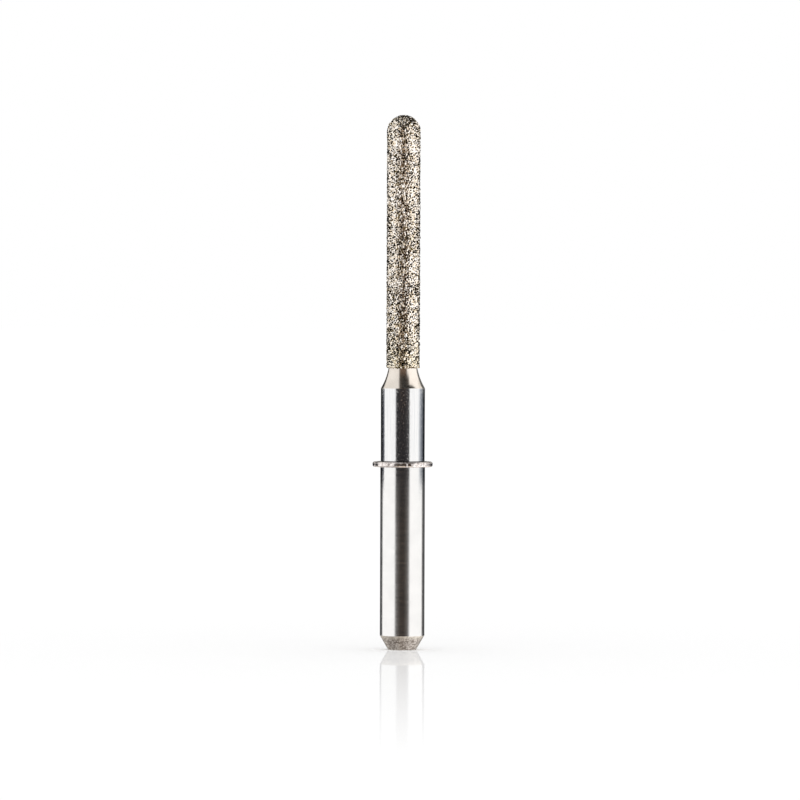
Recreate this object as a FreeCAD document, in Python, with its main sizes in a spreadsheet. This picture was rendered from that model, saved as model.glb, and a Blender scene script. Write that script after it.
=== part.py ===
import FreeCAD, Part
import enum
import math
import os
import random

import Sketcher

# Dental milling bur, in millimetres. It stands on the end face of its shank,
# with the origin at the centre of that face and the ball nose up along +Z.

DRIVING_DIMENSIONS = {
    "shank_diameter": 3.0,
    "end_face_diameter": 1.9,
    "end_chamfer_angle": 30.0,
    "insert_length": 12.3,
    "seat_diameter": 2.945,
    "shoulder_diameter": 2.97,
    "guide_length": 5.3,
    "bare_neck_length": 1.35,
    "coated_length": 17.05,
    "neck_radius": 3.8,
    "core_diameter": 1.86,
    "edge_break": 0.03,
    "ring_diameter": 4.05,
    "ring_thickness": 0.35,
    "ring_rim_radius": 0.12,
    "ring_bore_break": 0.04,
    "coating_thickness": 0.235,
    "grit_pitch": 0.25,
    "grit_relief": 0.06,
}

# Heights above the end face, and the ring's upper bore, as the sheet's cells give them.
SHOULDER_HEIGHT = "Sizes.insert_length + Sizes.guide_length"
COAT_HEIGHT = f"{SHOULDER_HEIGHT} + Sizes.bare_neck_length"
TIP_HEIGHT = f"{COAT_HEIGHT} + Sizes.coated_length"
NOSE_HEIGHT = f"{TIP_HEIGHT} - Sizes.coating_thickness - Sizes.core_diameter / 2"
RING_TOP_HEIGHT = "Sizes.insert_length + Sizes.ring_thickness"
UPPER_BORE_RADIUS = (
    "Sizes.seat_diameter / 2 + (Sizes.shoulder_diameter - Sizes.seat_diameter) / 2"
    " * Sizes.ring_thickness / Sizes.guide_length"
)

# The most of the ring's thickness that one rounding of its rim may take.
ROUNDING_SHARE = 0.45

GRIT_SEED = 7
LEAST_GRIT_COUNT = 5
PLACE_TOLERANCE = 1e-4
MESH_TOLERANCE = 1e-6


class Spot(enum.IntEnum):
    """The ends and the centre of a line or an arc in a sketch."""

    START = 1
    END = 2
    CENTRE = 3


class Datum(enum.IntEnum):
    """The level and the upright axis that a sketch is measured from."""

    LEVEL_AXIS = -1
    UPRIGHT_AXIS = -2


ORIGIN = (Datum.LEVEL_AXIS, Spot.START)


# Document and spreadsheet

doc = FreeCAD.newDocument("dental_bur")
sizes = doc.addObject("Spreadsheet::Sheet", "Sizes")
for row, (alias, value) in enumerate(DRIVING_DIMENSIONS.items(), start=1):
    sizes.set(f"A{row}", alias)
    sizes.set(f"B{row}", str(value))
    sizes.setAlias(f"B{row}", alias)
doc.recompute()


def measure(expression):
    """The value in millimetres of an expression of the sheet's cells."""
    return float(sizes.evalExpression(expression.replace("Sizes.", "")))


# Tools for the turned pieces

class HalfSection:
    """A half section on a body's own upright plane, where x is a radius and y a height."""

    def __init__(self, body, name):
        self.sketch = body.newObject("Sketcher::SketchObject", name)
        plane = next(item for item in body.Origin.OriginFeatures if item.Role == "XZ_Plane")
        self.sketch.AttachmentSupport = (plane, [""])
        self.sketch.MapMode = "FlatFace"

    def line(self, start, end):
        """Draw a line, kept level or upright if it is drawn so."""
        points = [FreeCAD.Vector(*start, 0), FreeCAD.Vector(*end, 0)]
        index = self.sketch.addGeometry(Part.LineSegment(*points))
        run = points[1] - points[0]
        if abs(run.y) < PLACE_TOLERANCE:
            self.sketch.addConstraint(Sketcher.Constraint("Horizontal", index))
        elif abs(run.x) < PLACE_TOLERANCE:
            self.sketch.addConstraint(Sketcher.Constraint("Vertical", index))
        return index

    def arc(self, centre, radius, start_angle, end_angle):
        """Draw an arc, anticlockwise between two angles in radians."""
        circle = Part.Circle(FreeCAD.Vector(*centre, 0), FreeCAD.Vector(0, 0, 1), radius)
        return self.sketch.addGeometry(Part.ArcOfCircle(circle, start_angle, end_angle))

    def join(self, first, second, kind="Coincident"):
        """Join two ends, each given as a segment and one of its ends."""
        self.sketch.addConstraint(Sketcher.Constraint(kind, *first, *second))

    def size(self, name, kind, places, value, expression):
        """Add a named dimension and bind it to an expression of the sheet."""
        index = self.sketch.addConstraint(Sketcher.Constraint(kind, *places, value))
        self.sketch.renameConstraint(index, name)
        self.sketch.setExpression(f"Constraints.{name}", expression)

    def radius_at(self, name, point, expression):
        """Set how far a point of the section lies from the upright axis."""
        self.size(name, "DistanceX", (*ORIGIN, *point), measure(expression), expression)

    def height_at(self, name, point, expression):
        """Set how high a point of the section lies above the origin."""
        self.size(name, "DistanceY", (*ORIGIN, *point), measure(expression), expression)

    def turn(self, body, name):
        """Turn the section once round the upright axis."""
        turned = body.newObject("PartDesign::Revolution", name)
        turned.Profile = (self.sketch, [""])
        turned.ReferenceAxis = (self.sketch, ["V_Axis"])
        turned.Angle = 360
        doc.recompute()
        return turned


def new_body(label):
    """An empty body whose label names its node."""
    body = doc.addObject("PartDesign::Body", label)
    body.Label = label
    return body


def circles_at(feature, places):
    """Names of a feature's round edges at the given pairs of radius and height."""
    names = []
    for number, edge in enumerate(feature.Shape.Edges, start=1):
        if edge.Degenerated or not isinstance(edge.Curve, Part.Circle):
            continue
        for radius, height in places:
            off_radius = abs(edge.Curve.Radius - radius)
            off_height = abs(edge.Curve.Center.z - height)
            if off_radius < PLACE_TOLERANCE and off_height < PLACE_TOLERANCE:
                names.append(f"Edge{number}")
    return names


def dress_edges(body, kind, name, base, places, dimension, expression):
    """Round or bevel round edges of a base feature by an expression of the sheet."""
    dressed = body.newObject(f"PartDesign::{kind}", name)
    dressed.Base = (base, circles_at(base, places))
    dressed.setExpression(dimension, expression)
    doc.recompute()
    return dressed


# Blank: shank, ring seat, neck and domed core, turned and ground from one bar

def make_blank():
    """The one-piece steel blank that carries the stop ring and the coating."""
    shank = sizes.shank_diameter / 2
    end_face = sizes.end_face_diameter / 2
    seat = sizes.seat_diameter / 2
    rim = sizes.shoulder_diameter / 2
    core = sizes.core_diameter / 2
    chamfer = (shank - end_face) / math.tan(math.radians(sizes.end_chamfer_angle))
    step = sizes.insert_length
    shoulder = measure(SHOULDER_HEIGHT)
    nose = measure(NOSE_HEIGHT)
    neck_turn = math.acos(1 - (rim - core) / sizes.neck_radius)
    neck_top = shoulder + sizes.neck_radius * math.sin(neck_turn)

    body = new_body("blank")
    section = HalfSection(body, "blank_section")
    foot = section.line((0, 0), (end_face, 0))
    bevel = section.line((end_face, 0), (shank, chamfer))
    grip = section.line((shank, chamfer), (shank, step))
    ledge = section.line((shank, step), (seat, step))
    guide = section.line((seat, step), (rim, shoulder))
    neck_centre = (core + sizes.neck_radius, neck_top)
    neck = section.arc(neck_centre, sizes.neck_radius, math.pi, math.pi + neck_turn)
    core_side = section.line((core, neck_top), (core, nose))
    dome = section.arc((0, nose), core, 0, math.pi / 2)
    middle = section.line((0, nose + core), (0, 0))

    section.join((middle, Spot.END), ORIGIN)
    section.join((middle, Spot.END), (foot, Spot.START))
    section.join((foot, Spot.END), (bevel, Spot.START))
    section.join((bevel, Spot.END), (grip, Spot.START))
    section.join((grip, Spot.END), (ledge, Spot.START))
    section.join((ledge, Spot.END), (guide, Spot.START))
    section.join((guide, Spot.END), (neck, Spot.END))
    section.join((neck, Spot.START), (core_side, Spot.START), "Tangent")
    section.join((core_side, Spot.END), (dome, Spot.START), "Tangent")
    section.join((dome, Spot.END), (middle, Spot.START))
    section.sketch.addConstraint(
        Sketcher.Constraint("PointOnObject", dome, Spot.CENTRE, Datum.UPRIGHT_AXIS)
    )

    section.radius_at("end_face_radius", (foot, Spot.END), "Sizes.end_face_diameter / 2")
    section.radius_at("shank_radius", (grip, Spot.START), "Sizes.shank_diameter / 2")
    section.radius_at("seat_radius", (guide, Spot.START), "Sizes.seat_diameter / 2")
    section.radius_at("shoulder_radius", (guide, Spot.END), "Sizes.shoulder_diameter / 2")
    section.radius_at("core_radius", (core_side, Spot.START), "Sizes.core_diameter / 2")
    section.height_at("step_height", (ledge, Spot.START), "Sizes.insert_length")
    section.height_at("shoulder_height", (guide, Spot.END), SHOULDER_HEIGHT)
    section.height_at("nose_height", (dome, Spot.CENTRE), NOSE_HEIGHT)
    section.size(
        "bevel_angle", "Angle", (bevel,), math.atan2(chamfer, shank - end_face),
        "(90 - Sizes.end_chamfer_angle) * 1 deg",
    )
    section.size("neck_radius", "Radius", (neck,), sizes.neck_radius, "Sizes.neck_radius")
    turned = section.turn(body, "turned_blank")

    broken_edges = [(end_face, 0), (shank, chamfer), (rim, shoulder)]
    dress_edges(
        body, "Fillet", "broken_edges", turned, broken_edges, "Radius", "Sizes.edge_break"
    )
    return body


# Stop ring: a thin ring pressed on the tapered guide, level with the step of the shank

def make_stop_ring():
    """The ring that stops the bur at its insertion depth."""
    seat = sizes.seat_diameter / 2
    rim = sizes.ring_diameter / 2
    underside = sizes.insert_length
    top = measure(RING_TOP_HEIGHT)
    upper_bore = measure(UPPER_BORE_RADIUS)

    body = new_body("stop_ring")
    section = HalfSection(body, "ring_section")
    lower = section.line((seat, underside), (rim, underside))
    outer = section.line((rim, underside), (rim, top))
    upper = section.line((rim, top), (upper_bore, top))
    bore = section.line((upper_bore, top), (seat, underside))
    section.join((lower, Spot.END), (outer, Spot.START))
    section.join((outer, Spot.END), (upper, Spot.START))
    section.join((upper, Spot.END), (bore, Spot.START))
    section.join((bore, Spot.END), (lower, Spot.START))
    section.radius_at("lower_bore_radius", (lower, Spot.START), "Sizes.seat_diameter / 2")
    section.radius_at("upper_bore_radius", (bore, Spot.START), UPPER_BORE_RADIUS)
    section.radius_at("rim_radius", (lower, Spot.END), "Sizes.ring_diameter / 2")
    section.height_at("underside_height", (lower, Spot.START), "Sizes.insert_length")
    section.height_at("top_height", (upper, Spot.START), RING_TOP_HEIGHT)
    turned = section.turn(body, "turned_ring")

    rounded = dress_edges(
        body, "Fillet", "rounded_rim", turned, [(rim, underside), (rim, top)],
        "Radius", f"min(Sizes.ring_rim_radius; {ROUNDING_SHARE} * Sizes.ring_thickness)",
    )
    dress_edges(
        body, "Chamfer", "broken_bore", rounded, [(seat, underside), (upper_bore, top)],
        "Size", "Sizes.ring_bore_break",
    )
    return body


# Coating: diamond grit bonded over the core, with a ball nose and a rough skin

def envelope_at(distance, radius, base, nose):
    """Radius, height and slope of the smooth envelope, a distance along its outline."""
    side = nose - base
    if distance <= side:
        return radius, base + distance, 0.0
    slope = (distance - side) / radius
    return radius * math.cos(slope), nose + radius * math.sin(slope), slope


def grit_rings(radius, base, nose):
    """Rings of grit points from the base to the nose, each at a random depth."""
    depths = random.Random(GRIT_SEED)
    outline = (nose - base) + radius * math.pi / 2
    row_pitch = sizes.grit_pitch * math.sqrt(3) / 2
    rows = round(outline / row_pitch)
    rings = []
    for row in range(rows):
        across, height, slope = envelope_at(outline * row / rows, radius, base, nose)
        count = max(LEAST_GRIT_COUNT, round(2 * math.pi * across / sizes.grit_pitch))
        ring = []
        for place in range(count):
            turn = 2 * math.pi * (place + 0.5 * (row % 2)) / count
            depth = sizes.grit_relief * depths.random()
            reach = across - depth * math.cos(slope)
            ring.append(FreeCAD.Vector(
                reach * math.cos(turn),
                reach * math.sin(turn),
                height - depth * math.sin(slope),
            ))
        rings.append(ring)
    return rings


def stitch(lower, upper, lower_shift, upper_shift):
    """Triangles between two rings of point numbers, walked round side by side."""
    triangles = []
    low = 0
    high = 0
    while low < len(lower) or high < len(upper):
        low_turn = (low + 1 + lower_shift) / len(lower)
        high_turn = (high + 1 + upper_shift) / len(upper)
        here = lower[low % len(lower)]
        above = upper[high % len(upper)]
        if high >= len(upper) or (low < len(lower) and low_turn < high_turn):
            low += 1
            triangles.append((here, lower[low % len(lower)], above))
        else:
            high += 1
            triangles.append((above, here, upper[high % len(upper)]))
    return triangles


def grit_skin():
    """A closed solid with one flat base and a skin of small facets."""
    radius = sizes.core_diameter / 2 + sizes.coating_thickness
    base = measure(COAT_HEIGHT)
    nose = measure(NOSE_HEIGHT)
    rings = grit_rings(radius, base, nose)
    points = [point for ring in rings for point in ring]
    numbers = []
    first = 0
    for ring in rings:
        numbers.append(list(range(first, first + len(ring))))
        first += len(ring)

    triangles = []
    for row, (lower, upper) in enumerate(zip(numbers, numbers[1:])):
        triangles += stitch(lower, upper, 0.5 * (row % 2), 0.5 * ((row + 1) % 2))
    tip = len(points)
    points.append(FreeCAD.Vector(0, 0, nose + radius))
    base_centre = len(points)
    points.append(FreeCAD.Vector(0, 0, base))
    foot = numbers[0]
    crown = numbers[-1]
    triangles += [(one, two, tip) for one, two in zip(crown, crown[1:] + crown[:1])]
    triangles += [(two, one, base_centre) for one, two in zip(foot, foot[1:] + foot[:1])]

    facets = Part.Shape()
    facets.makeShapeFromMesh((points, triangles), MESH_TOLERANCE, False)
    return Part.Solid(Part.Shell(facets.Faces))


def make_coating(blank):
    """The coating is the grit skin less the blank that it is bonded to."""
    skin = doc.addObject("Part::Feature", "grit_skin")
    skin.Shape = grit_skin()
    skin.Placement = FreeCAD.Placement()
    coating = doc.addObject("Part::Cut", "diamond_coating")
    coating.Label = "diamond_coating"
    coating.Base = skin
    coating.Tool = blank
    coating.Refine = True
    doc.recompute()
    return coating


# Build, check and write

def write_pieces(pieces):
    """Check the whole document and each piece, then write the STEP files."""
    doc.recompute()
    for item in doc.Objects:
        if "Invalid" in item.State or "Error" in item.State:
            raise RuntimeError(f"{item.Label} failed: {item.State}")
    for piece in pieces:
        if piece.Shape.isNull() or not piece.Shape.isValid():
            raise RuntimeError(f"{piece.Label} has no valid shape")
    os.makedirs("parts", exist_ok=True)
    for piece in pieces:
        piece.Shape.exportStep(f"parts/{piece.Label}.step")
        box = piece.Shape.BoundBox
        print(piece.Label, round(piece.Shape.Volume, 4), [round(box.ZMin, 3), round(box.ZMax, 3)])


blank = make_blank()
stop_ring = make_stop_ring()
coating = make_coating(blank)
write_pieces([blank, stop_ring, coating])
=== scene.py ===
"""Looks of a dental milling bur: ground shank, stop ring, plated neck and diamond-coated head.

Everything is in metres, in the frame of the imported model: the bur stands on the centre of its
end face and its ball nose points up. The camera looks along +Y.
"""
import logging
import math
from dataclasses import dataclass, field, replace
from enum import Enum
from functools import cache, cached_property
from typing import Callable, Iterable, Sequence

import bmesh
import bpy
import numpy as np
from mathutils import Matrix, Quaternion, Vector, kdtree, noise


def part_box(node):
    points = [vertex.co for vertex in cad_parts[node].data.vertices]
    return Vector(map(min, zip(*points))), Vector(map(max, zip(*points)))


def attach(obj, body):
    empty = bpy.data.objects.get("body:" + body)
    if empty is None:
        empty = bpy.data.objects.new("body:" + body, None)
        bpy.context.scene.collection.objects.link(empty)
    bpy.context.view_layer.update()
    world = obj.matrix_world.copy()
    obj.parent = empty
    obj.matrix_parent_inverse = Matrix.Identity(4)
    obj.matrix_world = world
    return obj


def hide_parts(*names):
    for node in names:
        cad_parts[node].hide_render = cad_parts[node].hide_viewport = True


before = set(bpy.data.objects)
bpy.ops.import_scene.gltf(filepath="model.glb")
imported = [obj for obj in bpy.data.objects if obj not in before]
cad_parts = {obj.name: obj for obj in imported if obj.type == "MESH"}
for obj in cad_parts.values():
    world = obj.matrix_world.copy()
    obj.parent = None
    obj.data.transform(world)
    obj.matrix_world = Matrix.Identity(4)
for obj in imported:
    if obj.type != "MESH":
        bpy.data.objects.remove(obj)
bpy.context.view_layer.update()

log = logging.getLogger("dental_bur")

MM = 0.001
Point = Sequence[float]
Colour = tuple[float, float, float]
Span = tuple[float, float]
Socket = bpy.types.NodeSocket
Outline = list["Station"]
Shift = Callable[[float, "Station"], tuple[float, float]]
WHITE = (1.0, 1.0, 1.0)


class Node(str, Enum):
    """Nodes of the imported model."""

    BLANK = "blank"
    RING = "stop_ring"
    COATING = "diamond_coating"


class Slot(str, Enum):
    """Material slots of the record."""

    STEEL = "ground_steel"
    RING = "ring_steel"
    GRIT = "diamond_grit"


class Pattern(Enum):
    """Effects that a finish may follow, with their outputs for its tone, its shine and its relief."""

    MARKS = ("Tone", "Marks", "Marks")
    GRAIN = ("Grain", "Cloud", "Relief")


class Zone(int, Enum):
    """Finishes along the blank, in the order of its material slots."""

    GROUND = 0
    MATTE = 1
    GUIDE = 2
    PLATED = 3


def heights(node: Node) -> tuple[float, float]:
    """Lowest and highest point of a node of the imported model."""
    low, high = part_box(node.value)
    return low[2], high[2]


# Meshes and objects

def new_mesh(name: str, points: Sequence[Point], faces: Sequence[Sequence[int]]) -> bpy.types.Mesh:
    """Make a mesh.

    Args:
        name: the mesh's name.
        points: its points.
        faces: its faces, as numbers of points.

    Returns:
        The new mesh.
    """
    mesh = bpy.data.meshes.new(name)
    mesh.from_pydata(points, [], faces)
    mesh.update()
    return mesh


def new_object(data: bpy.types.ID) -> bpy.types.Object:
    """Put a mesh or a camera into the scene, under its own name.

    Args:
        data: the mesh or the camera.

    Returns:
        The new object.
    """
    thing = bpy.data.objects.new(data.name, data)
    bpy.context.scene.collection.objects.link(thing)
    return thing


# Node trees

class NodeSheet:
    """A node tree, with short ways to add nodes and to link them."""

    def __init__(self, tree: bpy.types.NodeTree) -> None:
        """Take the tree of a material, a world or a node group and empty it."""
        self.tree = tree
        tree.nodes.clear()

    def feed(self, socket: Socket, value: object) -> None:
        """Give an input its value.

        Args:
            socket: the input.
            value: a socket to link, or a colour, a vector or a number to set.
        """
        if isinstance(value, Socket):
            self.tree.links.new(value, socket)
        elif isinstance(value, tuple) and len(socket.default_value) > len(value):
            socket.default_value = (*value, 1.0)
        else:
            socket.default_value = value

    def add(
        self, kind: str, inputs: dict[str | int, object] | None = None, **settings: object
    ) -> bpy.types.Node:
        """Add a node.

        Args:
            kind: the node's type name, without the words that all shader nodes share.
            inputs: values for its inputs, by their names or numbers.
            settings: values for the node's own properties.

        Returns:
            The new node.
        """
        node = self.tree.nodes.new(f"ShaderNode{kind}")
        for name, value in settings.items():
            setattr(node, name, value)
        for key, value in (inputs or {}).items():
            self.feed(node.inputs[key], value)
        return node

    def math(self, operation: str, first: object, second: object = 0.0) -> Socket:
        """Add a sum of two values, each a socket or a number."""
        return self.add("Math", {0: first, 1: second}, operation=operation).outputs[0]

    def parts(self, vector: Socket) -> bpy.types.NodeOutputs:
        """Take a vector apart, into the sockets X, Y and Z."""
        return self.add("SeparateXYZ", {0: vector}).outputs

    def turn_share(self, vector: Socket) -> Socket:
        """Find the share of a turn that a direction or a place lies at.

        Args:
            vector: the socket that holds the direction or the place.

        Returns:
            The socket that holds the share, the camera's side being a half.
        """
        parts = self.parts(vector)
        turn = self.math("ARCTAN2", parts["X"], self.math("MULTIPLY", parts["Y"], -1.0))
        return self.math("ADD", self.math("DIVIDE", turn, 2 * math.pi), 0.5)

    def spread(
        self, value: Socket, source: Span, target: Span = (0.0, 1.0), smooth: bool = False
    ) -> Socket:
        """Map a value from one range to another.

        Args:
            value: the value to map.
            source: the range that it is read in, clamped at both ends.
            target: the range that it is put out in.
            smooth: whether the change eases in and out.

        Returns:
            The socket that holds the mapped value.
        """
        labels = ("Value", "From Min", "From Max", "To Min", "To Max")
        inputs = dict(zip(labels, (value, *source, *target)))
        easing = "SMOOTHSTEP" if smooth else "LINEAR"
        return self.add("MapRange", inputs, interpolation_type=easing).outputs["Result"]

    def blend(self, share: object, first: object, second: object) -> Socket:
        """Mix two colours, by how much of the second one shows."""
        return self.add("Mix", {"Factor": share, 6: first, 7: second}, data_type="RGBA").outputs[2]

    def ramp(self, value: Socket, stops: Sequence[tuple[float, Colour]]) -> Socket:
        """Look a value up in a row of colours.

        Args:
            value: the value to look up, from 0 to 1.
            stops: places and the colours there, in rising order.

        Returns:
            The socket that holds the colour.
        """
        node = self.add("ValToRGB", {"Fac": value})
        elements = node.color_ramp.elements
        while len(elements) < len(stops):
            elements.new(1.0)
        for element, (place, colour) in zip(elements, stops):
            element.position = place
            element.color = (*colour, 1.0)
        return node.outputs["Color"]


def new_material(name: str) -> tuple[bpy.types.Material, NodeSheet]:
    """Make a material with no nodes in it yet.

    Args:
        name: the material's name.

    Returns:
        The material and its nodes.
    """
    material = bpy.data.materials.new(name)
    material.use_nodes = True
    return material, NodeSheet(material.node_tree)


class Effect:
    """A node group with named inputs and outputs, built once and placed in many materials."""

    def __init__(self, name: str, inputs: dict[str, float], outputs: Iterable[str]) -> None:
        """Make the group and its sockets.

        Args:
            name: the group's name.
            inputs: names and default values of its number inputs.
            outputs: names of its number outputs.
        """
        self.group = bpy.data.node_groups.new(name, "ShaderNodeTree")
        sockets = self.group.interface
        sockets.new_socket("Place", in_out="INPUT", socket_type="NodeSocketVector")
        for label, value in inputs.items():
            socket = sockets.new_socket(label, in_out="INPUT", socket_type="NodeSocketFloat")
            socket.default_value = value
        for label in outputs:
            sockets.new_socket(label, in_out="OUTPUT", socket_type="NodeSocketFloat")
        self.sheet = NodeSheet(self.group)
        self.entry = self.group.nodes.new("NodeGroupInput")
        self.exit = self.group.nodes.new("NodeGroupOutput")

    def scaled_place(self, around: object, along: object) -> Socket:
        """Stretch the place that comes in, by one factor across the axis and one along it.

        Args:
            around: factor for X and Y, a socket or a number.
            along: factor for Z, a socket or a number.

        Returns:
            The socket that holds the stretched place.
        """
        factors = self.sheet.add("CombineXYZ", {"X": around, "Y": around, "Z": along})
        inputs = {0: self.entry.outputs["Place"], 1: factors.outputs[0]}
        return self.sheet.add("VectorMath", inputs, operation="MULTIPLY").outputs[0]

    def noise(self, place: Socket, detail: float, roughness: float) -> Socket:
        """Add a noise from 0 to 1, with one lump for each unit of the place that it is read at."""
        inputs = {"Scale": 1.0, "Detail": detail, "Roughness": roughness, "Vector": place}
        return self.sheet.add("TexNoise", inputs).outputs["Fac"]

    def put_out(self, **values: Socket) -> None:
        """Link values to the group's outputs, by name."""
        for name, value in values.items():
            self.sheet.feed(self.exit.inputs[name], value)

    def place_in(
        self, sheet: NodeSheet, place: Socket, values: dict[str, float]
    ) -> bpy.types.NodeOutputs:
        """Place the group in a material, read at a place in metres, with numbers for its inputs."""
        return sheet.add("Group", {"Place": place, **values}, node_tree=self.group).outputs


SLOW_DRIFT = 0.04
CLOUD_SCALE = 0.15


def grinding_marks() -> Effect:
    """Build the effect of fine marks that run round the axis.

    Returns:
        An effect whose Marks are fine lines and whose Tone drifts slowly along the axis.
    """
    effect = Effect("grinding_marks", {"Lines per mm": 30.0, "Breaks per mm": 0.6}, ("Marks", "Tone"))
    along = effect.sheet.math("MULTIPLY", effect.entry.outputs["Lines per mm"], 1 / MM)
    around = effect.sheet.math("MULTIPLY", effect.entry.outputs["Breaks per mm"], 1 / MM)
    slow = effect.sheet.math("MULTIPLY", along, SLOW_DRIFT)
    marks = effect.noise(effect.scaled_place(around, along), detail=3.0, roughness=0.6)
    tone = effect.noise(effect.scaled_place(around, slow), detail=2.0, roughness=0.5)
    effect.put_out(Marks=marks, Tone=tone)
    return effect


def fine_grain() -> Effect:
    """Build the effect of a grainy surface, alike in all directions.

    Returns:
        An effect whose Grain differs from cell to cell, whose Relief is fine and uneven, and
        whose Cloud is coarse and soft.
    """
    effect = Effect("fine_grain", {"Grains per mm": 20.0}, ("Grain", "Relief", "Cloud"))
    fine = effect.sheet.math("MULTIPLY", effect.entry.outputs["Grains per mm"], 1 / MM)
    coarse = effect.sheet.math("MULTIPLY", fine, CLOUD_SCALE)
    place = effect.scaled_place(fine, fine)
    cells = effect.sheet.add("TexVoronoi", {"Scale": 1.0, "Vector": place})
    grain = effect.sheet.parts(cells.outputs["Color"])["X"]
    relief = effect.noise(place, detail=2.0, roughness=0.7)
    cloud = effect.noise(effect.scaled_place(coarse, coarse), detail=2.0, roughness=0.5)
    effect.put_out(Grain=grain, Relief=relief, Cloud=cloud)
    return effect


@cache
def shared_effect(pattern: Pattern) -> Effect:
    """Build the effect that has a pattern, once for all finishes."""
    return {Pattern.MARKS: grinding_marks, Pattern.GRAIN: fine_grain}[pattern]()


# Finishes

SOFT_RANGE = (0.3, 0.7)
TINT = "tint"


@dataclass(frozen=True)
class Finish:
    """A metal whose colour and roughness follow the pattern of an effect.

    dark and light are its colours, smooth and rough its least and greatest roughness, relief
    the height of its bumps, values the effect's own numbers, tones and shines the stretches of
    the pattern that show in colour and in roughness, and edge the tint of its reflections at a
    grazing angle. The height tint fades in over a stretch of heights; on the guide it is painted
    shade.
    """

    name: str
    dark: Colour
    smooth: float
    rough: float
    relief: float
    values: dict[str, float]
    light: Colour = WHITE
    metallic: float = 1.0
    tint_and_painted_shade: Colour = WHITE
    tint_and_shade_share: float = 0.0
    tint_and_shade_heights: Span = (0.0, 1.0)
    tones: Span = SOFT_RANGE
    shines: Span = SOFT_RANGE
    edge: Colour = WHITE
    pattern: Pattern = Pattern.GRAIN

    def colour(self, sheet: NodeSheet, tone: Socket, relief: Socket) -> Socket:
        """Colour the surface by the pattern's tone."""
        return sheet.blend(sheet.spread(tone, self.tones), self.dark, self.light)

    def tinted_and_shaded(self, sheet: NodeSheet, place: Socket, colour: Socket) -> Socket:
        """Tint a colour by height, more so at one end of a stretch of heights; on the guide this
        paints shade.

        Args:
            sheet: the material's nodes.
            place: the socket that holds the place on the surface, in metres.
            colour: the socket that holds the colour.

        Returns:
            The socket that holds the tinted colour.
        """
        if self.tint_and_shade_share <= 0:
            return colour
        height = sheet.parts(place)["Z"]
        share = sheet.spread(height, self.tint_and_shade_heights, (0.0, self.tint_and_shade_share), smooth=True)
        return sheet.blend(share, colour, self.tint_and_painted_shade)

    def material(self) -> bpy.types.Material:
        """Build the material.

        Returns:
            The material.
        """
        material, sheet = new_material(self.name)
        place = sheet.add("TexCoord").outputs["Object"]
        outputs = shared_effect(self.pattern).place_in(sheet, place, self.values)
        tone, shine, relief = (outputs[label] for label in self.pattern.value)
        bump = sheet.add("Bump", {"Strength": 1.0, "Distance": self.relief, "Height": relief})
        shader = sheet.add("BsdfPrincipled", {
            "Metallic": self.metallic,
            "Specular Tint": self.edge,
            "Base Color": self.tinted_and_shaded(sheet, place, self.colour(sheet, tone, relief)),
            "Roughness": sheet.spread(shine, self.shines, (self.smooth, self.rough)),
            "Normal": bump.outputs["Normal"],
        })
        sheet.add("OutputMaterial", {"Surface": shader.outputs["BSDF"]})
        return material


@dataclass(frozen=True)
class Crystal(Finish):
    """Diamond crystals, each of its own tint and mottled a little; their near-black tints are partly
    painted shade between the grains.
    """

    tints: tuple[tuple[float, Colour], ...] = ()
    mottling: float = 0.10
    mottles: Span = (0.35, 0.65)

    def colour(self, sheet: NodeSheet, tone: Socket, relief: Socket) -> Socket:
        """Colour the surface by the crystals' tints, mottled by the relief."""
        tint = sheet.ramp(sheet.add("Attribute", attribute_name=TINT).outputs["Fac"], self.tints)
        return sheet.blend(sheet.spread(relief, self.mottles, (0.0, self.mottling)), tint, self.dark)


SHANK_STEEL = Finish(
    name="ground_shank", dark=(0.700, 0.695, 0.687), light=(0.748, 0.742, 0.733),
    smooth=0.07, rough=0.24, relief=0.15e-6,
    pattern=Pattern.MARKS, values={"Lines per mm": 20.0, "Breaks per mm": 0.8},
)
# The chamfer turns paler and warmer towards its top.
CHAMFER_STEEL = Finish(
    name="matte_chamfer", dark=(0.20, 0.17, 0.15), light=(0.62, 0.575, 0.535),
    smooth=0.34, rough=0.46, relief=2e-6, values={"Grains per mm": 11.5}, tones=(0.1, 0.9),
    tint_and_painted_shade=(0.85, 0.80, 0.70), tint_and_shade_share=0.5, tint_and_shade_heights=(0.6 * MM, 0.95 * MM),
)
# The near-black tint at the guide's foot, just above the stop ring, is painted shade: a dark line
# standing in for the ring's shadow and dark reflection there.
GUIDE_STEEL = Finish(
    name="honed_guide", dark=(0.665, 0.670, 0.678), light=(0.748, 0.746, 0.743),
    smooth=0.05, rough=0.36, relief=0.3e-6, shines=(0.45, 0.75),
    pattern=Pattern.MARKS, values={"Lines per mm": 9.0, "Breaks per mm": 17.0},
    tint_and_painted_shade=(0.05, 0.04, 0.035), tint_and_shade_share=0.9, tint_and_shade_heights=(12.73 * MM, 12.69 * MM),
)
PLATED_NECK = Finish(
    name="plated_neck", dark=(0.64, 0.58, 0.52), light=(0.73, 0.675, 0.615),
    smooth=0.10, rough=0.18, relief=0.3e-6, metallic=0.98,
    pattern=Pattern.MARKS, values={"Lines per mm": 22.0, "Breaks per mm": 1.0},
)
RING_STEEL = Finish(
    name="dull_ring", dark=(0.46, 0.41, 0.39), light=(0.92, 0.87, 0.85),
    smooth=0.14, rough=0.30, relief=9e-6, values={"Grains per mm": 10.0}, tones=(0.0, 1.0),
)
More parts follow.
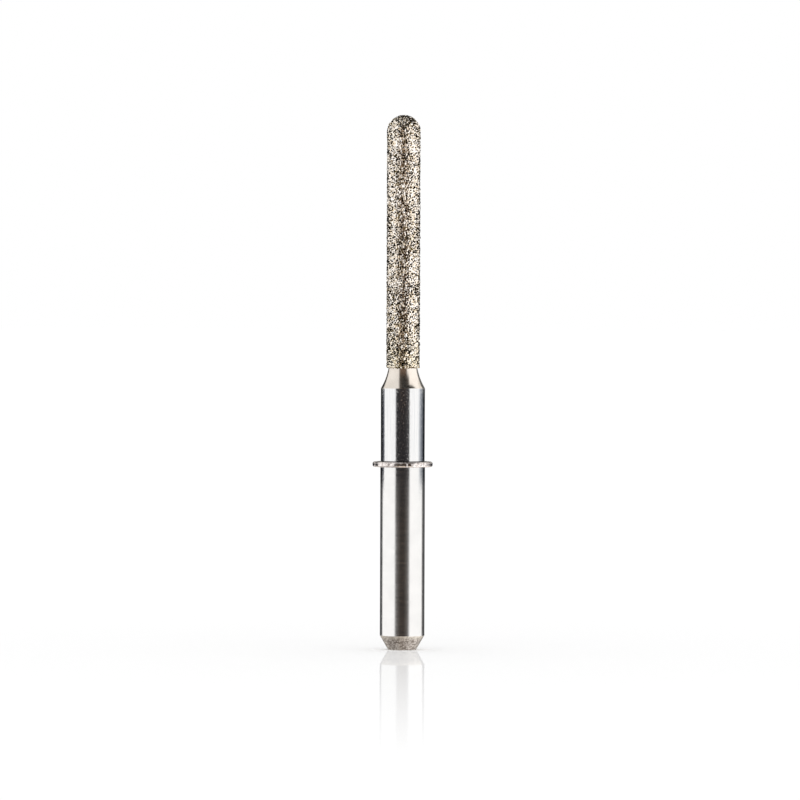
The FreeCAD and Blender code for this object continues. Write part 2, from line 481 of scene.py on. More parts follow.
# The bond turns olive towards the coat's lower edge.
NICKEL_BOND = Finish(
    name="nickel_bond", dark=(0.60, 0.45, 0.25), light=(1.0, 0.953, 0.905),
    smooth=0.05, rough=0.17, relief=6e-6, values={"Grains per mm": 10.0}, tones=(-0.2, 0.8),
    tint_and_painted_shade=(0.80, 0.72, 0.45), tint_and_shade_share=0.3, tint_and_shade_heights=(22 * MM, 19 * MM),
)
DIAMOND = Crystal(
    name="diamond_crystal", dark=(0.30, 0.25, 0.17), smooth=0.06, rough=0.14, relief=0.2e-6,
    values={"Grains per mm": 10.0}, edge=(0.035, 0.026, 0.016),
    # The near-black tints, which most crystals get, are partly the grit's own dark colour and partly
    # painted shade: the shaded bond and dark reflections between the grains.
    tints=(
        (0.0, (0.004, 0.0025, 0.001)),
        (0.62, (0.014, 0.010, 0.003)),
        (0.82, (0.120, 0.090, 0.026)),
        (0.84, (0.90, 0.80, 0.64)),
        (0.95, (0.98, 0.93, 0.88)),
        (1.0, (1.0, 0.98, 0.96)),
    ),
)


# Turned shapes

@dataclass(frozen=True)
class Corner:
    """A corner of a turned outline.

    radius and height say where it is, rounding is the radius of its edge break, and zone is
    the finish from this corner to the next.
    """

    radius: float
    height: float
    rounding: float = 0.0
    zone: Zone = Zone.GROUND


@dataclass(frozen=True)
class Station:
    """A ring of points of a turned mesh, and the finish from it to the next."""

    radius: float
    height: float
    zone: Zone = Zone.GROUND


ROUND_STEPS = 6
SUPPORT = 0.012 * MM
LONGEST_ROUNDING = 0.4


def rounded(corners: Sequence[Corner]) -> Outline:
    """Round the corners of an outline, with a ring close to each side of every rounding.

    Args:
        corners: the outline's corners, from the axis at the bottom to the axis at the top.

    Returns:
        The stations of the rounded outline.
    """
    stations: Outline = []
    for index, corner in enumerate(corners):
        here = Vector((corner.radius, corner.height))
        inner = 0 < index < len(corners) - 1
        if corner.rounding <= 0 or not inner:
            stations.append(Station(here.x, here.y, corner.zone))
            continue
        before, after = corners[index - 1], corners[index + 1]
        back = Vector((before.radius, before.height)) - here
        ahead = Vector((after.radius, after.height)) - here
        half = back.angle(ahead) / 2
        room = LONGEST_ROUNDING * min(back.length, ahead.length)
        reach = min(corner.rounding / math.tan(half), room)
        radius = reach * math.tan(half)
        inward = (back.normalized() + ahead.normalized()).normalized()
        centre = here + inward * (radius / math.sin(half))
        first = here + back.normalized() * reach - centre
        sweep = first.angle_signed(here + ahead.normalized() * reach - centre)
        if back.length > reach + 2 * SUPPORT:
            spot = here + back.normalized() * (reach + SUPPORT)
            stations.append(Station(spot.x, spot.y, before.zone))
        for step in range(ROUND_STEPS + 1):
            turn = -sweep * step / ROUND_STEPS
            spot = centre + Vector((
                first.x * math.cos(turn) - first.y * math.sin(turn),
                first.x * math.sin(turn) + first.y * math.cos(turn),
            ))
            stations.append(Station(spot.x, spot.y, corner.zone))
        if ahead.length > reach + 2 * SUPPORT:
            spot = here + ahead.normalized() * (reach + SUPPORT)
            stations.append(Station(spot.x, spot.y, corner.zone))
    return stations


def no_shift(turn: float, station: Station) -> tuple[float, float]:
    """Leave a turned surface as it is."""
    return 0.0, 0.0


def turned_mesh(
    name: str, outline: Outline, segments: int, shift: Shift = no_shift, closed: bool = False
) -> bpy.types.Object:
    """Turn an outline round the axis into a mesh.

    Args:
        name: the object's name.
        outline: the stations, in an order that keeps the material on their left.
        segments: number of points in a ring.
        shift: how far a point moves outwards and upwards, from its turn and its station.
        closed: whether the last station joins the first, as in a ring.

    Returns:
        The new object, smooth shaded.
    """
    vertices: list[tuple[float, float, float]] = []
    rings: list[list[int]] = []
    for station in outline:
        first = len(vertices)
        if station.radius <= 0:
            vertices.append((0.0, 0.0, station.height + shift(0.0, station)[1]))
            rings.append([first] * segments)
            continue
        for place in range(segments):
            turn = 2 * math.pi * place / segments
            outwards, upwards = shift(turn, station)
            radius = station.radius + outwards
            across, along = radius * math.cos(turn), radius * math.sin(turn)
            vertices.append((across, along, station.height + upwards))
        rings.append(list(range(first, first + segments)))
    faces: list[tuple[int, ...]] = []
    zones: list[int] = []
    pairs = list(zip(rings, rings[1:] + rings[:1], outline))
    for lower, upper, station in pairs if closed else pairs[:-1]:
        for place in range(segments):
            following = (place + 1) % segments
            corners = (lower[place], lower[following], upper[following], upper[place])
            faces.append(tuple(dict.fromkeys(corners)))
            zones.append(station.zone.value)
    mesh = new_mesh(name, vertices, faces)
    mesh.polygons.foreach_set("material_index", zones)
    mesh.polygons.foreach_set("use_smooth", [True] * len(faces))
    return new_object(mesh)


def hand_over(piece: bpy.types.Object, node: Node, slot: Slot, *finishes: Finish) -> None:
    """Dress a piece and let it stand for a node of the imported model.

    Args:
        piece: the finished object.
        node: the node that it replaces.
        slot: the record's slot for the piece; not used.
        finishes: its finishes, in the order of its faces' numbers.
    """
    for finish in finishes:
        piece.data.materials.append(finish.material())
    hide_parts(node.value)
    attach(piece, "root")
    log.info("%s: %d faces", piece.name, len(piece.data.polygons))


# Blank

@dataclass
class Blank:
    """The steel blank: chamfered shank, tapered guide, concave neck and core pin."""

    shank_radius: float = 1.5 * MM
    end_face_radius: float = 0.95 * MM
    chamfer_height: float = 0.9526 * MM
    seat_radius: float = 1.4725 * MM
    shoulder_radius: float = 1.485 * MM
    guide_length: float = 5.3 * MM
    neck_radius: float = 3.8 * MM
    core_radius: float = 0.93 * MM
    edge_break: float = 0.03 * MM
    step_break: float = 0.01 * MM
    neck_steps: int = 28
    dome_steps: int = 12
    segments: int = 256
    step_height: float = field(default_factory=lambda: heights(Node.RING)[0])
    top: float = field(default_factory=lambda: heights(Node.BLANK)[1])

    @property
    def shoulder_height(self) -> float:
        """Height of the shoulder, where the guide ends."""
        return self.step_height + self.guide_length

    @property
    def neck_turn(self) -> float:
        """Angle that the neck's arc turns through, in radians."""
        return math.acos(1 - (self.shoulder_radius - self.core_radius) / self.neck_radius)

    @property
    def neck_top(self) -> float:
        """Height where the neck runs into the core."""
        return self.shoulder_height + self.neck_radius * math.sin(self.neck_turn)

    def neck(self) -> list[Corner]:
        """Follow the neck's arc.

        Returns:
            Its points, from above the shoulder to the core.
        """
        points = []
        for step in range(1, self.neck_steps + 1):
            turn = self.neck_turn * (1 - step / self.neck_steps)
            radius = self.core_radius + self.neck_radius * (1 - math.cos(turn))
            height = self.neck_top - self.neck_radius * math.sin(turn)
            points.append(Corner(radius, height, zone=Zone.PLATED))
        return points

    def dome(self) -> list[tuple[float, float]]:
        """Follow the core's dome from its side to its top.

        Returns:
            Radius and height of each point.
        """
        points = []
        for step in range(self.dome_steps + 1):
            turn = math.pi / 2 * step / self.dome_steps
            radius = self.core_radius * math.cos(turn) if step < self.dome_steps else 0.0
            points.append((radius, self.top - self.core_radius * (1 - math.sin(turn))))
        return points

    def build(self) -> None:
        """Make the blank and dress it."""
        corners = [
            Corner(0.0, 0.0, zone=Zone.MATTE),
            Corner(self.end_face_radius, 0.0, self.edge_break, Zone.MATTE),
            Corner(self.shank_radius, self.chamfer_height, self.edge_break),
            Corner(self.shank_radius, self.step_height, self.step_break, Zone.GUIDE),
            Corner(self.seat_radius, self.step_height, self.step_break, Zone.GUIDE),
            Corner(self.shoulder_radius, self.shoulder_height, self.edge_break, Zone.PLATED),
            *self.neck(),
            *(Corner(radius, height, zone=Zone.PLATED) for radius, height in self.dome()),
        ]
        piece = turned_mesh("steel_blank", rounded(corners), self.segments)
        finishes = (SHANK_STEEL, CHAMFER_STEEL, GUIDE_STEEL, PLATED_NECK)
        hand_over(piece, Node.BLANK, Slot.STEEL, *finishes)


# Stop ring

@dataclass
class StopRing:
    """The thin ring pressed on the guide, with a rounded and slightly dented rim."""

    lower_bore: float = 1.4725 * MM
    upper_bore: float = 1.4733 * MM
    outer_radius: float = 2.025 * MM
    rim_rounding: float = 0.12 * MM
    bore_break: float = 0.04 * MM
    bore_rounding: float = 0.01 * MM
    dent_depth: float = 0.02 * MM
    dent_waves: tuple[int, int] = (2, 23)
    dent_sizes: Span = (0.1, 0.5)
    segments: int = 256
    seed: int = 11

    @cached_property
    def waves(self) -> list[tuple[int, float, float]]:
        """Draw the waves of the dents.

        Returns:
            For each wave, how often it goes round, where it starts and how deep it is.
        """
        draws = np.random.default_rng(self.seed)
        first, last = self.dent_waves
        return [
            (count, draws.uniform(0, 2 * math.pi), draws.uniform(*self.dent_sizes))
            for count in range(first, last + 1)
        ]

    def dents(self, turn: float, station: Station) -> tuple[float, float]:
        """How far a point of the rim lies inside the true round.

        Args:
            turn: the point's angle round the axis.
            station: the point's place on the outline.

        Returns:
            The shifts outwards, never above zero, and upwards.
        """
        if station.radius < self.outer_radius - 2 * self.rim_rounding:
            return 0.0, 0.0
        waves = sum(size * math.sin(count * turn + phase) for count, phase, size in self.waves)
        return -self.dent_depth * max(0.0, waves), 0.0

    def build(self) -> None:
        """Make the ring and dress it."""
        underside, top = heights(Node.RING)
        corners = [
            Corner(self.lower_bore, underside + self.bore_break),
            Corner(self.lower_bore + self.bore_break, underside, self.bore_rounding),
            Corner(self.outer_radius, underside, self.rim_rounding),
            Corner(self.outer_radius, top, self.rim_rounding),
            Corner(self.upper_bore + self.bore_break, top, self.bore_rounding),
            Corner(self.upper_bore, top - self.bore_break),
        ]
        piece = turned_mesh(
            "pressed_stop_ring", rounded(corners), self.segments, self.dents, closed=True
        )
        hand_over(piece, Node.RING, Slot.RING, RING_STEEL)


# Diamond coating

@dataclass
class Coating:
    """Nickel bond over the core, full of diamond crystals, with a ball nose."""

    bond_radius: float = 1.085 * MM
    envelope_radius: float = 1.165 * MM
    crystal_pitch: float = 0.178 * MM
    spreading_rounds: int = 12
    push: float = 0.45
    crystal_sizes: Span = (0.098 * MM, 0.120 * MM)
    shapes: int = 24
    shape_spread: float = 0.13
    shape_stretch: Span = (0.75, 1.15)
    dark_share: float = 0.82
    tint_step: float = 0.08
    stand: Span = (0.36, 0.80)
    bright_rise: float = 0.20
    lump_height: float = 0.063 * MM
    lump_size: float = 0.08 * MM
    edge_rise: float = 0.10 * MM
    edge_waves: float = 7.3
    edge_middle: float = 0.5
    edge_swing: float = 1.2
    edge_step: float = 0.03 * MM
    edge_margin: float = 0.055 * MM
    painted_light_edge: float = 0.11 * MM
    painted_light_shift: float = 0.32
    overhang: float = 0.01 * MM
    bond_segments: int = 180
    bond_rings: int = 380
    seed: int = 5
    foot: float = field(default_factory=lambda: heights(Node.COATING)[0])
    tip: float = field(default_factory=lambda: heights(Node.COATING)[1])

    @property
    def nose_centre(self) -> float:
        """Height of the centre of the ball nose."""
        return self.tip - self.envelope_radius

    def shape_library(self, draws: np.random.Generator) -> tuple[np.ndarray, np.ndarray]:
        """Make a few blocky crystal shapes.

        Args:
            draws: the source of random numbers.

        Returns:
            Points of each shape, about one unit from its centre, and its triangles.
        """
        block = np.array([
            (x, y, z) for x in (-1, 1) for y in (-1, 1) for z in (-1, 1)
        ]) / math.sqrt(3)
        wedge = np.array([
            (0.3, 0, 1), (-0.3, 0, 1), (0, 0.3, -1), (0, -0.3, -1),
            (1, 0, 0), (-1, 0, 0), (0, 1, 0), (0, -1, 0),
        ])
        clouds, hulls = [], []
        while len(hulls) < self.shapes:
            corners = (block, wedge)[len(hulls) % 2]
            cloud = corners + draws.normal(0, self.shape_spread, corners.shape)
            cloud *= draws.uniform(*self.shape_stretch, 3)
            triangles = hull_triangles(cloud)
            # A hull that uses all its points has two triangles for each point, less four.
            if len(triangles) == 2 * len(cloud) - 4:
                clouds.append(cloud)
                hulls.append(triangles)
        return np.array(clouds), np.array(hulls)

    def settled(self, places: np.ndarray) -> tuple[np.ndarray, np.ndarray]:
        """Bring places back onto the smooth outline of the bond.

        Args:
            places: points near the bond, one row each.

        Returns:
            The points on the outline and the outward directions there.
        """
        core = np.zeros_like(places)
        core[:, 2] = np.clip(places[:, 2], self.foot + self.edge_margin, self.nose_centre)
        outward = places - core
        outward[:, 2] = np.maximum(outward[:, 2], 0)
        outward /= np.linalg.norm(outward, axis=1, keepdims=True)
        return core + outward * self.bond_radius, outward

    def pushed_apart(self, places: np.ndarray) -> np.ndarray:
        """Push places away from each other where they are closer than the pitch.

        Args:
            places: points on the bond, one row each.

        Returns:
            The moved points.
        """
        tree = kdtree.KDTree(len(places))
        for index, place in enumerate(places):
            tree.insert(place, index)
        tree.balance()
        near = [
            (index, other)
            for index, place in enumerate(places)
            for _, other, _ in tree.find_range(place, self.crystal_pitch)
            if other != index
        ]
        first, second = np.array(near).T
        apart = places[first] - places[second]
        distance = np.linalg.norm(apart, axis=1, keepdims=True)
        moved = places.copy()
        np.add.at(moved, first, self.push * apart * (self.crystal_pitch / distance - 1))
        return moved

    def scatter(self, draws: np.random.Generator) -> tuple[np.ndarray, np.ndarray]:
        """Spread the crystals over the bond, evenly but in no rows.

        Args:
            draws: the source of random numbers.

        Returns:
            The crystals' places on the bond and the outward directions there.
        """
        top = self.nose_centre + self.bond_radius
        area = 2 * math.pi * self.bond_radius * (top - self.foot)
        cell = self.crystal_pitch ** 2 * math.sqrt(0.75)
        count = round(area / cell)
        height = draws.uniform(self.foot, top, count)
        turn = draws.uniform(0, 2 * math.pi, count)
        above = np.maximum(height - self.nose_centre, 0)
        across = np.sqrt(self.bond_radius ** 2 - above ** 2)
        places = np.stack((across * np.cos(turn), across * np.sin(turn), height), axis=1)
        for _ in range(self.spreading_rounds):
            places, _ = self.settled(self.pushed_apart(places))
        return self.settled(places)

    def crystals(self) -> None:
        """Make the crystals as one mesh of closed blocky grains."""
        draws = np.random.default_rng(self.seed)
        clouds, hulls = self.shape_library(draws)
        places, outward = self.scatter(draws)
        count = len(places)
        kinds = draws.integers(0, len(clouds), count)
        sizes = draws.uniform(*self.crystal_sizes, count)
        turned = np.einsum("nij,npj->npi", random_turns(draws, count), clouds[kinds])
        grains = turned * sizes[:, None, None]
        reach = np.einsum("npi,ni->np", grains, outward).max(axis=1)
        room = self.envelope_radius - self.bond_radius
        tints = draws.uniform(0, 1, count)
        # Crystals along the coat's lower edge get paler tints: painted light over the shade that their
        # downward facets fall in under the coat's edge.
        painted_light_at_edge = places[:, 2] < self.foot + self.painted_light_edge
        tints[painted_light_at_edge] = 1 - (1 - tints[painted_light_at_edge]) * self.painted_light_shift
        rise = np.clip((tints - self.dark_share) / self.tint_step, 0.0, 1.0)
        stand = room * (draws.uniform(*self.stand, count) + self.bright_rise * rise)
        grains = grains + (places + outward * (stand - reach)[:, None])[:, None, :]
        grains[:, :, 2] = np.clip(grains[:, :, 2], self.foot - self.overhang, self.tip)

        points = grains.shape[1]
        first = (np.arange(count) * points)[:, None, None]
        triangles = (hulls[kinds] + first).reshape(-1, 3).tolist()
        piece = new_object(new_mesh("diamond_crystals", grains.reshape(-1, 3).tolist(), triangles))
        tint = piece.data.attributes.new(TINT, "FLOAT", "POINT")
        tint.data.foreach_set("value", np.repeat(tints, points))
        hand_over(piece, Node.COATING, Slot.GRIT, DIAMOND)

    def bond(self) -> None:
        """Make the nickel bond that the crystals sit in."""
        blank = Blank()
        side = self.nose_centre - self.foot
        whole = side + self.bond_radius * math.pi / 2
        distances = np.linspace(self.edge_step, whole, self.bond_rings)
        slopes = np.clip((distances - side) / self.bond_radius, 0, math.pi / 2)
        radii = self.bond_radius * np.cos(slopes)
        levels = self.foot + np.minimum(distances, side) + self.bond_radius * np.sin(slopes)
        outline = [
            Station(blank.core_radius, self.foot),
            Station(self.bond_radius - self.edge_step, self.foot),
            *(Station(radius, level) for radius, level in zip(radii[:-1], levels[:-1])),
            Station(0.0, levels[-1]),
            *(Station(radius, level) for radius, level in reversed(blank.dome())),
        ]
        piece = turned_mesh("nickel_bond", outline, self.bond_segments, self.lumps, closed=True)
        hand_over(piece, Node.COATING, Slot.GRIT, NICKEL_BOND)

    def lumps(self, turn: float, station: Station) -> tuple[float, float]:
        """Lumps of the bond where it climbs the crystals, and its uneven lower edge.

        Args:
            turn: the point's angle round the axis.
            station: the point's place on the outline.

        Returns:
            The shifts outwards and upwards.
        """
        above = max(0.0, station.height - self.nose_centre)
        depth = math.hypot(station.radius, above)
        if depth < self.bond_radius - 2 * self.edge_step:
            return 0.0, 0.0
        across, along = math.cos(turn), math.sin(turn)
        place = Vector((station.radius * across, station.radius * along, station.height))
        lump = self.lump_height * noise.noise(place / self.lump_size)
        swing = noise.noise(Vector((across, along, 0.0)) * self.edge_waves)
        wave = self.edge_middle + self.edge_swing * swing
        fade = max(0.0, 1 - (station.height - self.foot) / (2 * self.edge_rise))
        rise = self.edge_rise * min(1.0, max(0.0, wave)) * fade
        return lump * station.radius / depth, lump * above / depth + rise


def hull_triangles(cloud: np.ndarray) -> list[tuple[int, int, int]]:
    """Wrap a cloud of points in triangles.

    Args:
        cloud: the points.

    Returns:
        Triangles as numbers of points, facing outwards.
    """
    hull = bmesh.new()
    for point in cloud:
        hull.verts.new(point)
    hull.verts.ensure_lookup_table()
    bmesh.ops.convex_hull(hull, input=hull.verts)
    hull.faces.ensure_lookup_table()
    bmesh.ops.triangulate(hull, faces=hull.faces)
    hull.verts.index_update()
    bmesh.ops.recalc_face_normals(hull, faces=hull.faces)
    triangles = [tuple(vertex.index for vertex in face.verts) for face in hull.faces]
    hull.free()
    return triangles


def random_turns(draws: np.random.Generator, count: int) -> np.ndarray:
    """Draw rotations, all directions alike, as matrices of three rows."""
    quaternions = draws.normal(size=(count, 4))
    return np.array([Quaternion(row).normalized().to_matrix() for row in quaternions])


# Studio

@dataclass(frozen=True)
class Walls:
    """Colours round the bur at one height: two side lights, and dark gaps in front and behind.

    The angles are in degrees from the camera's side, and left is negative. The walls fade in
    over a stretch of heights, each height being a direction's upward part.
    """

    left: Colour
    right: Colour
    gap: Colour
    rim: Colour
    back_left: Colour
    back_right: Colour
    left_end: float = -121.0
    right_end: float = 116.0
    gap_left: float = -33.0
    gap_right: float = 33.0
    glow_share: float = 0.28
    heights: Span = (0.0, 0.03)
    smooth: bool = False

    def stops(self) -> list[tuple[float, Colour]]:
        """List the colours once round, from behind the bur and back to there.

        Returns:
            Shares of a turn, with the camera's side at a half, and the colours there.
        """
        glow = tuple(self.glow_share * value for value in self.right)
        turns = [
            (-172.0, self.back_left),
            (self.left_end - 9.0, self.back_left),
            (self.left_end, self.left),
            (self.gap_left - 7.0, self.left),
            (self.gap_left - 2.0, glow),
            (self.gap_left + 4.0, self.rim),
            (self.gap_left + 25.0, self.gap),
            (self.gap_right - 25.0, self.gap),
            (self.gap_right - 7.0, self.rim),
            (self.gap_right, glow),
            (self.gap_right + 6.0, self.right),
            (self.right_end, self.right),
            (self.right_end + 12.0, self.back_right),
            (172.0, self.back_right),
            (180.0, self.back_left),
        ]
        return [(0.5 + turn / 360, colour) for turn, colour in turns]


LOW_WALLS = Walls(
    left=(1.32, 1.31, 1.30), right=(1.32, 1.31, 1.30),
    gap=(0.036, 0.032, 0.030), rim=(0.14, 0.13, 0.123),
    back_left=(0.10, 0.10, 0.102), back_right=(0.10, 0.10, 0.102), gap_left=-34.5,
)
MIDDLE_WALLS = Walls(
    left=(1.20, 1.20, 1.19), right=(1.44, 1.42, 1.40),
    gap=(0.19, 0.125, 0.085), rim=(0.21, 0.15, 0.11),
    back_left=(0.03, 0.03, 0.03), back_right=(0.14, 0.14, 0.14),
    left_end=-131.0, right_end=124.0, gap_left=-26.0, gap_right=30.0,
)
HIGH_WALLS = replace(
    MIDDLE_WALLS, left=(1.08, 1.08, 1.07), gap=(0.03, 0.027, 0.025), rim=(0.08, 0.07, 0.06),
    left_end=-124.0, right_end=117.0, gap_right=45.0, heights=(0.32, 0.66), smooth=True,
)
UNDER_WALLS = replace(
    LOW_WALLS, left=(0.95, 0.93, 0.90), right=(2.0, 1.96, 1.90),
    gap=(0.90, 0.70, 0.50), rim=(0.90, 0.74, 0.58),
    back_left=(0.90, 0.87, 0.82), back_right=(0.90, 0.87, 0.82), heights=(-0.20, -0.36),
)


@dataclass(frozen=True)
class Card:
    """Bent cards round the bur at one height, which only show in its metal.

    turns are the ends of each card and glow its colours by angle, in degrees from the camera.
    """

    name: str
    heights: Span
    turns: tuple[Span, ...]
    glow: tuple[tuple[float, Colour], ...]


SIDE_FLAGS = Card(
    name="side_flags",
    heights=(10.1 * MM, 17.0 * MM),
    turns=((-178, -108), (-37, 36), (86, 178)),
    glow=(
        (-132, (0.01, 0.012, 0.015)),
        (-124, (0.10, 0.105, 0.12)),
        (-111, (0.15, 0.155, 0.175)),
        (-108, (1.27, 1.27, 1.27)),
        (-37, (1.27, 1.27, 1.27)),
        (-34, (0.038, 0.036, 0.038)),
        (-2, (0.026, 0.024, 0.026)),
        (14, (0.032, 0.030, 0.032)),
        (33, (0.10, 0.098, 0.10)),
        (36, (1.27, 1.27, 1.27)),
        (88, (1.29, 1.29, 1.29)),
        (97, (0.70, 0.72, 0.76)),
        (110, (0.29, 0.31, 0.35)),
        (120, (0.22, 0.24, 0.28)),
        (131, (0.01, 0.012, 0.017)),
    ),
)
LOWER_RIMS = Card(
    name="lower_rims",
    heights=(17.2 * MM, 20.3 * MM),
    turns=((-178, -118), (112, 178)),
    glow=((-150, (1.1, 1.08, 1.03)), (150, (1.1, 1.08, 1.03))),
)
UPPER_RIMS = replace(LOWER_RIMS, name="upper_rims", heights=(31 * MM, 52 * MM))


@dataclass
class Studio:
    """A white floor and a white room with two wide soft lights and dark gaps between them."""

    floor_half_width: float = 1.5
    floor_drop: float = 0.02 * MM
    floor_colour: Colour = (0.92, 0.92, 0.92)
    near_lift: float = 0.085
    far_lift: float = 0.10
    painted_foot_light: float = 0.08
    lift_reach: Span = (5 * MM, 70 * MM)
    mirror_share: float = 0.31
    mirror_colour: Colour = (0.98, 0.98, 0.98)
    mirror_reach: Span = (12 * MM, 97 * MM)
    mirror_fading: float = 1.2
    clear_ring: Span = (1.7 * MM, 2.3 * MM)
    overhead: Colour = (0.02, 0.02, 0.02)
    zenith: Colour = (0.95, 0.95, 0.95)
    under_left: Colour = (0.56, 0.545, 0.53)
    under_right: Colour = (1.02, 0.99, 0.97)
    overhead_heights: Span = (0.83, 0.88)
    overhead_lean: float = 0.2
    zenith_heights: Span = (0.93, 0.97)
    downward_heights: Span = (-0.45, -0.65)
    downward_share: float = 0.8
    under_aside: Span = (-0.2, 0.7)
    card_radius: float = 30 * MM
    card_steps: int = 24

    def walls(self, sheet: NodeSheet, direction: Socket) -> Socket:
        """Paint what the metal sees round it, above it and below it.

        Args:
            sheet: the world's nodes.
            direction: the socket that holds the direction of the ray.

        Returns:
            The socket that holds the colour in that direction.
        """
        parts = sheet.parts(direction)
        share = sheet.turn_share(direction)
        aside, height = parts["X"], parts["Z"]
        walls = sheet.ramp(share, LOW_WALLS.stops())
        for layer in (MIDDLE_WALLS, HIGH_WALLS, UNDER_WALLS):
            shown = sheet.spread(height, layer.heights, smooth=layer.smooth)
            walls = sheet.blend(shown, walls, sheet.ramp(share, layer.stops()))
        leaning = sheet.math("ADD", sheet.math("MULTIPLY", aside, self.overhead_lean), height)
        dark = sheet.spread(leaning, self.overhead_heights, smooth=True)
        walls = sheet.blend(dark, walls, self.overhead)
        bright = sheet.spread(height, self.zenith_heights, smooth=True)
        walls = sheet.blend(bright, walls, self.zenith)
        under = sheet.blend(sheet.spread(aside, self.under_aside), self.under_left, self.under_right)
        downward = sheet.spread(height, self.downward_heights, (0.0, self.downward_share), smooth=True)
        return sheet.blend(downward, walls, under)

    def room(self) -> None:
        """Make the world: plain white behind the bur, soft lights and gaps for its metal."""
        world = bpy.data.worlds.new("studio_room")
        bpy.context.scene.world = world
        world.use_nodes = True
        sheet = NodeSheet(world.node_tree)
        path = sheet.add("LightPath").outputs
        glossy = sheet.math("SUBTRACT", path["Is Glossy Ray"], path["Is Singular Ray"])
        direction = sheet.add("TexCoord").outputs["Generated"]
        colour = sheet.blend(glossy, WHITE, self.walls(sheet, direction))
        background = sheet.add("Background", {"Color": colour, "Strength": 1.0})
        sheet.add("OutputWorld", {"Surface": background.outputs[0]})

    def floor_material(self) -> bpy.types.Material:
        """Make the floor's finish: white, with a mirror image that fades away from the bur, and a ring
        of painted light at its foot over the contact shadow.

        Returns:
            The material.
        """
        material, sheet = new_material("white_floor")
        place = sheet.add("TexCoord").outputs["Object"]
        flat = sheet.add("VectorMath", {0: place, 1: (1.0, 1.0, 0.0)}, operation="MULTIPLY")
        away = sheet.add("VectorMath", {0: flat.outputs[0]}, operation="LENGTH")
        distance = away.outputs["Value"]
        left_over = sheet.spread(distance, self.mirror_reach, (1.0, 0.0))
        clear = sheet.spread(distance, self.clear_ring)
        share = sheet.math("MULTIPLY", clear, self.mirror_share)
        mirror = sheet.math("MULTIPLY", sheet.math("POWER", left_over, self.mirror_fading), share)

        far = sheet.spread(distance, self.lift_reach, (self.near_lift, self.far_lift))
        # A ring of painted light at the bur's foot, seen only by the camera, fills in the contact
        # shadow where the mirror image is cleared.
        ring = sheet.spread(clear, (0.0, 1.0), (self.painted_foot_light, 0.0))
        seen = sheet.add("LightPath").outputs["Is Camera Ray"]
        strength = sheet.math("MULTIPLY", seen, sheet.math("ADD", far, ring))
        white = sheet.add("BsdfDiffuse", {"Color": self.floor_colour})
        lift = sheet.add("Emission", {"Strength": strength})
        matt = sheet.add("AddShader", {0: white.outputs[0], 1: lift.outputs[0]})
        gloss = sheet.add("BsdfGlossy", {"Color": self.mirror_colour, "Roughness": 0.0})
        mixed = sheet.add("MixShader", {0: mirror, 1: matt.outputs[0], 2: gloss.outputs[0]})
        sheet.add("OutputMaterial", {"Surface": mixed.outputs[0]})
        return material

    def floor(self) -> None:
        """Lay the floor under the bur."""
        half = self.floor_half_width
        sides = ((-half, -half), (half, -half), (half, half), (-half, half))
        corners = [(x, y, -self.floor_drop) for x, y in sides]
        floor = new_object(new_mesh("floor", corners, [(0, 1, 2, 3)]))
        floor.data.materials.append(self.floor_material())
        floor.visible_glossy = False

    def card_material(self, card: Card) -> bpy.types.Material:
        """Make the cards' finish: a glow by angle, which the floor's mirror image leaves out.

        Args:
            card: the cards that it is for.

        Returns:
            The material.
        """
        material, sheet = new_material(card.name)
        share = sheet.turn_share(sheet.add("TexCoord").outputs["Object"])
        stops = [(0.5 + degrees / 360, colour) for degrees, colour in card.glow]
        glow = sheet.add("Emission", {"Color": sheet.ramp(share, stops), "Strength": 1.0})
        singular = sheet.add("LightPath").outputs["Is Singular Ray"]
        clear = sheet.add("BsdfTransparent")
        mixed = sheet.add("MixShader", {0: singular, 1: glow.outputs[0], 2: clear.outputs[0]})
        sheet.add("OutputMaterial", {"Surface": mixed.outputs[0]})
        return material

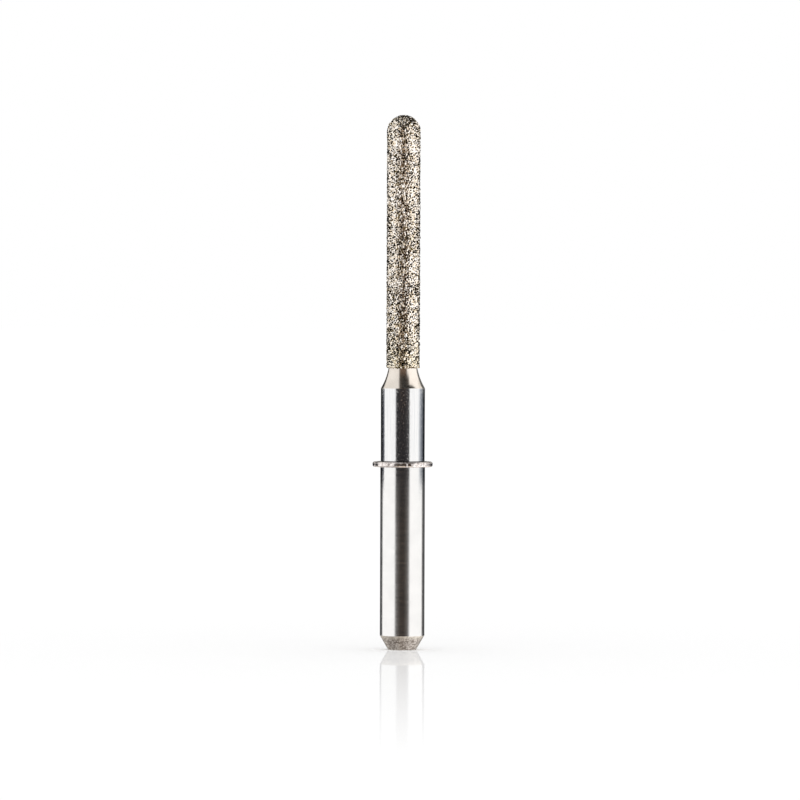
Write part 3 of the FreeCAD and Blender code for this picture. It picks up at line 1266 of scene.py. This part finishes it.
    def cards(self, card: Card) -> None:
        """Hang bent cards round the bur, as one object.

        Args:
            card: where they hang and how they glow.
        """
        low, high = card.heights
        points, faces = [], []
        for start, end in card.turns:
            first = len(points)
            for step in range(self.card_steps + 1):
                turn = math.radians(start + (end - start) * step / self.card_steps)
                x, y = self.card_radius * math.sin(turn), -self.card_radius * math.cos(turn)
                points += [(x, y, low), (x, y, high)]
            for step in range(self.card_steps):
                corner = first + 2 * step
                faces.append((corner, corner + 2, corner + 3, corner + 1))
        cards = new_object(new_mesh(card.name, points, faces))
        cards.data.materials.append(self.card_material(card))
        cards.visible_camera = False
        cards.visible_diffuse = False
        cards.visible_transmission = False
        cards.visible_shadow = False

    def build(self) -> None:
        """Set up the room, the floor and how the picture is shown."""
        self.room()
        self.floor()
        for card in (SIDE_FLAGS, LOWER_RIMS, UPPER_RIMS):
            self.cards(card)
        bpy.context.scene.view_settings.view_transform = "Standard"
        log.info("studio: floor and room")


@dataclass
class Viewpoint:
    """The camera at the photograph's angle."""

    picture_width: float = 800.0
    pixels_per_mm: float = 14.87
    sensor: float = 36.0
    distance: float = 450 * MM
    height: float = 28 * MM
    foot_row: float = 649.7
    axis_column: float = 402.9
    roll: float = math.radians(0.2)
    nearest: float = 0.01
    farthest: float = 10.0

    def build(self) -> None:
        """Place the camera."""
        middle = self.picture_width / 2
        aim_height = (self.foot_row - middle) / self.pixels_per_mm * MM
        aside = -(self.axis_column - middle) / self.pixels_per_mm * MM
        seen_width = self.picture_width / self.pixels_per_mm * MM
        data = bpy.data.cameras.new("camera")
        data.sensor_width = self.sensor
        data.lens = self.sensor * self.distance / seen_width
        data.clip_start = self.nearest
        data.clip_end = self.farthest
        camera = new_object(data)
        spot = Vector((aside, -self.distance, self.height))
        ahead = Vector((aside, 0.0, aim_height)) - spot
        facing = ahead.to_track_quat("-Z", "Y").to_matrix().to_4x4()
        camera.matrix_world = Matrix.Translation(spot) @ facing @ Matrix.Rotation(self.roll, 4, "Z")
        bpy.context.scene.camera = camera
        log.info("camera: lens %.1f mm", data.lens)


def main() -> None:
    """Build the studio and the bur's pieces, in order."""
    logging.basicConfig(level=logging.INFO, format="%(name)s: %(message)s")
    Studio().build()
    Viewpoint().build()
    Blank().build()
    StopRing().build()
    coating = Coating()
    coating.bond()
    coating.crystals()


if __name__ == "__main__":
    main()
